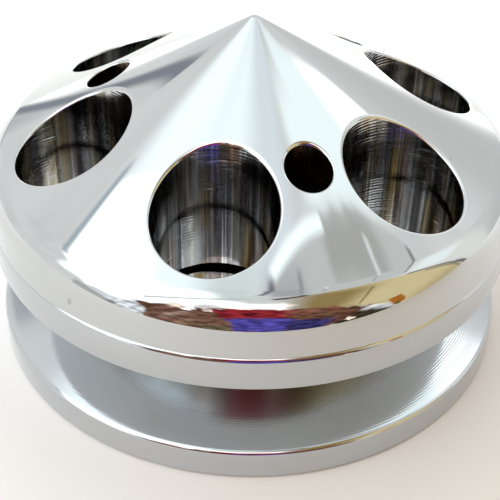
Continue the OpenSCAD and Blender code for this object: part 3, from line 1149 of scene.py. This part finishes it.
@dataclass
class Studio:
    """Table, tent and camera."""

    layout: Layout
    tent: tuple[float, float, float] = (1.0, 1.01, 1.0)
    backdrop: tuple[float, float, float] = (1.0, 0.985, 0.97)
    table_tint: tuple[float, float, float] = (0.83, 0.795, 0.78)
    table_half: float = 2.0
    table_front: float = 2.1
    # the camera's distance and height in flange radii, and its aim
    camera_reach: float = 3.6333
    camera_height: float = 3.0277
    camera_pitch: float = math.radians(37.437)
    camera_roll: float = math.radians(1.1785)
    focal_length: float = 80.43

    def panels(self) -> list[Panel]:
        """The tent from its widest cloths to its smallest patches, each over those before it."""
        return [
            # the light behind the part
            Panel(12, 98, 48, 22, -6, 10, (6.0, 6.0, 5.9)),
            # cloth on the far right, and low on the left with its seams
            Panel(75, 60, 40, 30, -35, 14, (0.80, 0.81, 0.79)),
            Panel(-100, -59, 18, 27, 3, 2, (0.66, 0.67, 0.65)),
            Panel(-69, -62, 15, 32, -4, 5, (1.02, 1.06, 1.10)),
            Panel(-84, -50, 1.0, 17, 4, 0.7, (0.50, 0.51, 0.50)),
            Panel(-50, 84, 8, 14, 0, 5, (0.64, 0.66, 0.68)),
            Panel(-40.5, 66, 1.3, 27, 7, 0.9, (0.34, 0.37, 0.42)),
            # the bright window side on the left, its frame, and the light above the part
            Panel(-14, 7, 20, 13, -10, 6, (1.22, 1.34, 1.36)),
            Panel(-24, 12, 11, 10, -40, 6, (1.62, 1.76, 1.78)),
            Panel(4, 3, 8, 9, 0, 4, (1.12, 1.22, 1.27)),
            Panel(-43.5, 11, 11, 0.8, 43, 0.8, (0.58, 0.67, 0.73)),
            Panel(-40, -30, 34, 22, 10, 5, (2.5, 2.65, 2.65)),
            Panel(-47.6, -31, 23, 23, 57, 2, (2.4, 2.55, 2.6)),
            Panel(-27.5, -11.6, 14.5, 25.6, 46, 0.7, (2.6, 2.75, 2.75)),
            Panel(-12, -4, 12, 12, 10, 6, (1.5, 1.65, 1.68)),
            Panel(-4, -20, 7, 17, 0, 5, (0.98, 1.08, 1.06)),
            Panel(-22, -38, 24, 1.5, 22, 1.0, (0.85, 0.9, 0.92)),
            # light cloth on the right and the bright gap in it
            Panel(70, 9, 26, 14, 12, 7, (1.14, 1.16, 1.08)),
            Panel(52, 3, 9, 9, 20, 4, (1.3, 1.4, 1.4)),
            Panel(36.5, 26, 4.5, 11, -27, 1.8, (2.3, 2.4, 2.4)),
            Panel(27, 15, 9, 5, 45, 3, (1.45, 1.6, 1.6)),
            Panel(23, 9, 10, 4, 36, 2.5, (1.45, 1.6, 1.6)),
            # the board past the tent's opening, its dark edge and what lies beyond
            Panel(77.9, -29.7, 54, 24.8, 12, 1.2, (0.98, 0.82, 0.47)),
            Panel(104, -22, 20, 22, 12, 10, (0.74, 0.60, 0.33)),
            Panel(29, -42, 13, 24, 8, 9, (0.44, 0.31, 0.12)),
            Panel(45, -38, 0.6, 18, 20, 0.6, (0.4, 0.29, 0.12)),
            Panel(64, -7.0, 17, 1.1, 11, 0.6, (0.36, 0.32, 0.28)),
            Panel(90, 1.0, 12, 1.8, 24, 0.8, (0.30, 0.28, 0.27)),
            Panel(108, 11, 12, 3.2, 42, 1.4, (0.26, 0.25, 0.27)),
            Panel(84, -5, 26, 1.0, 14, 0.6, (0.5, 0.42, 0.28)),
            Panel(80, -50, 9, 5, -20, 1.0, (0.60, 0.21, 0.03), 8),
            Panel(87, -54, 3, 2.5, -20, 1.6, (0.2, 0.18, 0.03), 8),
            Panel(80, -78, 26, 15, 16, 4, (0.07, 0.055, 0.03), 10),
            # folded cloth in front, with its shadows and its lit edges
            Panel(25, -6.3, 17, 10.4, 29, 0.5, (0.84, 0.86, 0.84), 3),
            Panel(9.5, -14, 5, 9, 12, 2.2, (0.62, 0.61, 0.64)),
            Panel(25, 3, 7, 2.0, 28, 1.4, (0.62, 0.63, 0.60), 4),
            Panel(11.6, -2.2, 7.9, 0.5, 25.5, 0.4, (1.7, 1.85, 1.85)),
            Panel(4.2, -12.5, 0.8, 7, -8, 0.6, (0.30, 0.28, 0.33), 2),
            Panel(12.8, -11.5, 0.5, 7.3, 12, 0.45, (0.50, 0.49, 0.50), 2),
            Panel(19.6, -13.5, 0.35, 4, 15, 0.4, (0.62, 0.62, 0.60), 2),
            Panel(18.4, -8, 0.4, 2.6, 15, 0.35, (1.15, 1.2, 1.2), 2),
            Panel(30.6, -3, 0.4, 8.0, 19, 0.4, (0.62, 0.62, 0.60), 2),
            Panel(29.0, 3.0, 0.4, 2.6, 19, 0.35, (1.15, 1.2, 1.2), 2),
            Panel(39.5, 2.5, 0.4, 9.4, 25, 0.35, (0.32, 0.32, 0.31), 2),
            Panel(12, -27, 6, 1.6, 40, 1.0, (0.12, 0.11, 0.09), 6),
            # the room in front of the tent
            Panel(2, -97, 60, 38, 0, 2, (0.20, 0.09, 0.055), 14),
            Panel(-45.5, -93, 31, 24, 34.4, 2, (0.26, 0.13, 0.09), 14),
            Panel(-44, -80, 16, 3, 34, 2, (0.5, 0.34, 0.26), 14),
            Panel(-46, -98, 12, 5, 34, 3, (0.36, 0.22, 0.14), 14),
            Panel(2, -70, 18, 12.5, 0, 1.6, (0.42, 0.035, 0.045), 14),
            Panel(2, -70, 4, 5, 0, 3, (0.10, 0.01, 0.015), 14),
            Panel(30, -66, 12, 8, 20, 3, (0.34, 0.13, 0.09), 14),
            Panel(42, -74, 16, 4, -40, 3, (0.20, 0.10, 0.06), 14),
            Panel(8, -101, 20, 18.5, 2, 2, (0.12, 0.10, 0.50), 14),
            Panel(41, -99, 15, 15, 8, 4, (0.06, 0.05, 0.19), 14),
            Panel(-26, -112, 14, 9, -10, 4, (0.22, 0.16, 0.09), 14),
            # small bright things
            Panel(1, -49, 14, 7, 0, 3.5, (2.5, 2.2, 2.0), 14),
            Panel(-26, -59, 2.6, 9, -14, 1.4, (2.6, 2.4, 2.3), 14),
            Panel(-33, -58, 3.4, 5, -14, 1.6, (1.5, 1.2, 1.0), 14),
            Panel(-18, -62, 1.2, 7, -8, 0.8, (1.4, 1.1, 1.0), 14),
            Panel(67, -84, 3, 2, 0, 0.8, (2.2, 1.9, 1.5), 14),
        ]

    def sky(self) -> None:
        """Lights the scene with the tent; the camera itself sees a plain pale backdrop."""
        world = bpy.data.worlds.new("tent")
        bpy.context.scene.world = world
        world.use_nodes = True
        tree = ShaderTree(world.node_tree)
        direction = tree.node("ShaderNodeTexCoord", out="Generated")
        to_camera_axes = Vector((0, 0, -(CAMERA_AZIMUTH + math.pi / 2)))
        names = {"Vector": direction, "Rotation": to_camera_axes}
        turned = tree.node("ShaderNodeVectorRotate", {"rotation_type": "EULER_XYZ"}, names)
        x, y, z = tree.split(turned)
        level = (x * x + y * y + 1e-6) ** 0.5
        spread = z.math("ARCCOSINE") * math.degrees(1) / level
        across, along = x * spread, y * spread
        folds = tree.noise(tree.join(across * 0.05, along * 0.05, 0.0), 1.0, 2.0).ramp(0.3, 0.7, 0.94, 1.06)
        light = tree.tone(1.0, colour(*self.tent), folds)
        layers = (tree.join(across * 0.13, along * 0.13, level) for level in (3.0, 9.0))
        warp = tuple(tree.noise(layer, 1.0, 3.0) - 0.5 for layer in layers)
        for panel in self.panels():
            light = tree.mix(panel.mask(across, along, warp), light, colour(*panel.tint))
        uneven = tree.noise(tree.join(across * 0.11, along * 0.17, 5.0), 1.0, 1.5)
        mottled = uneven.ramp(0.34, 0.66, 0.55, 1.45)
        light = tree.tone(along.ramp(-50.0, -62.0) * across.ramp(80.0, 65.0), light, mottled)
        seen = tree.node("ShaderNodeLightPath", out="Is Camera Ray")
        light = tree.mix(seen, light, colour(*self.backdrop))
        tree.finish("ShaderNodeOutputWorld", tree.node("ShaderNodeBackground", None, {"Color": light}))

    def table(self) -> None:
        """The table for the camera, and its nearer part for the chrome to reflect."""
        top = TableTop("table", self.table_tint, 0.6).build()
        floor = Shape()
        bmesh.ops.create_grid(floor.mesh, x_segments=1, y_segments=1, size=self.table_half)
        wide = floor.to_object("table_top")
        wide.visible_glossy = False
        near = Shape()
        half = self.table_half / 4
        bmesh.ops.create_grid(near.mesh, x_segments=1, y_segments=1, size=half)
        front = self.table_front * self.layout.flange_r
        near.move((0, half - front, 0.02 * MM)).turn(CAMERA_AZIMUTH + math.pi / 2)
        mirrored = near.to_object("table_in_reflections")
        mirrored.visible_camera = False
        mirrored.visible_diffuse = False
        mirrored.visible_shadow = False
        for piece in (wide, mirrored):
            dress(piece, [top])

    def camera(self) -> None:
        """A short telephoto, above and in front."""
        reach, height = self.camera_reach * self.layout.flange_r, self.camera_height * self.layout.flange_r
        pitch, roll = self.camera_pitch, self.camera_roll
        ahead = Vector((*polar(-math.cos(pitch), CAMERA_AZIMUTH), -math.sin(pitch)))
        right = ahead.cross(Vector((0, 0, 1))).normalized()
        up = right.cross(ahead)
        right, up = right * math.cos(roll) + up * math.sin(roll), up * math.cos(roll) - right * math.sin(roll)
        lens = bpy.data.cameras.new("camera")
        lens.lens = self.focal_length
        lens.sensor_width = 36
        lens.clip_start = 0.005
        eye = bpy.data.objects.new("camera", lens)
        turn = Matrix((right, up, -ahead)).transposed().to_4x4()
        eye.matrix_world = Matrix.Translation((*polar(reach, CAMERA_AZIMUTH), height)) @ turn
        bpy.context.scene.collection.objects.link(eye)
        bpy.context.scene.camera = eye

    def build(self) -> None:
        """Sets everything up round the part."""
        bpy.context.scene.view_settings.view_transform = "Standard"
        self.sky()
        self.table()
        self.camera()


def main() -> None:
    """Builds the part round its frame, then the studio."""
    logging.basicConfig(level=logging.INFO, format="%(name)s: %(message)s")
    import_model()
    layout = Layout()
    finishes = Finishes()
    PulleyWheel(layout).build(finishes)
    NoseCone(layout).build(finishes)
    Washer("plain_washer", "flat_washer", "pulley", Slot.ZINC, WASHER_BORE_R).build(finishes.zinc)
    spring = Washer("spring_washer", "lock_washer", "nut_carrier", Slot.SPRING, WASHER_BORE_R, LOCK_WASHER_GAP)
    spring.build(finishes.spring)
    HexNut().build(finishes)
    for index in range(1, SCREW_COUNT + 1):
        CapScrew(layout, index).build(finishes)
        names = (f"small_spring_washer_{index}", f"screw_washer_{index}", f"screw_{index}_carrier")
        Washer(*names, Slot.SPRING, SCREW_WASHER_BORE_R, SCREW_WASHER_GAP).build(finishes.spring)
    Studio(layout).build()


if __name__ == "__main__":
    main()
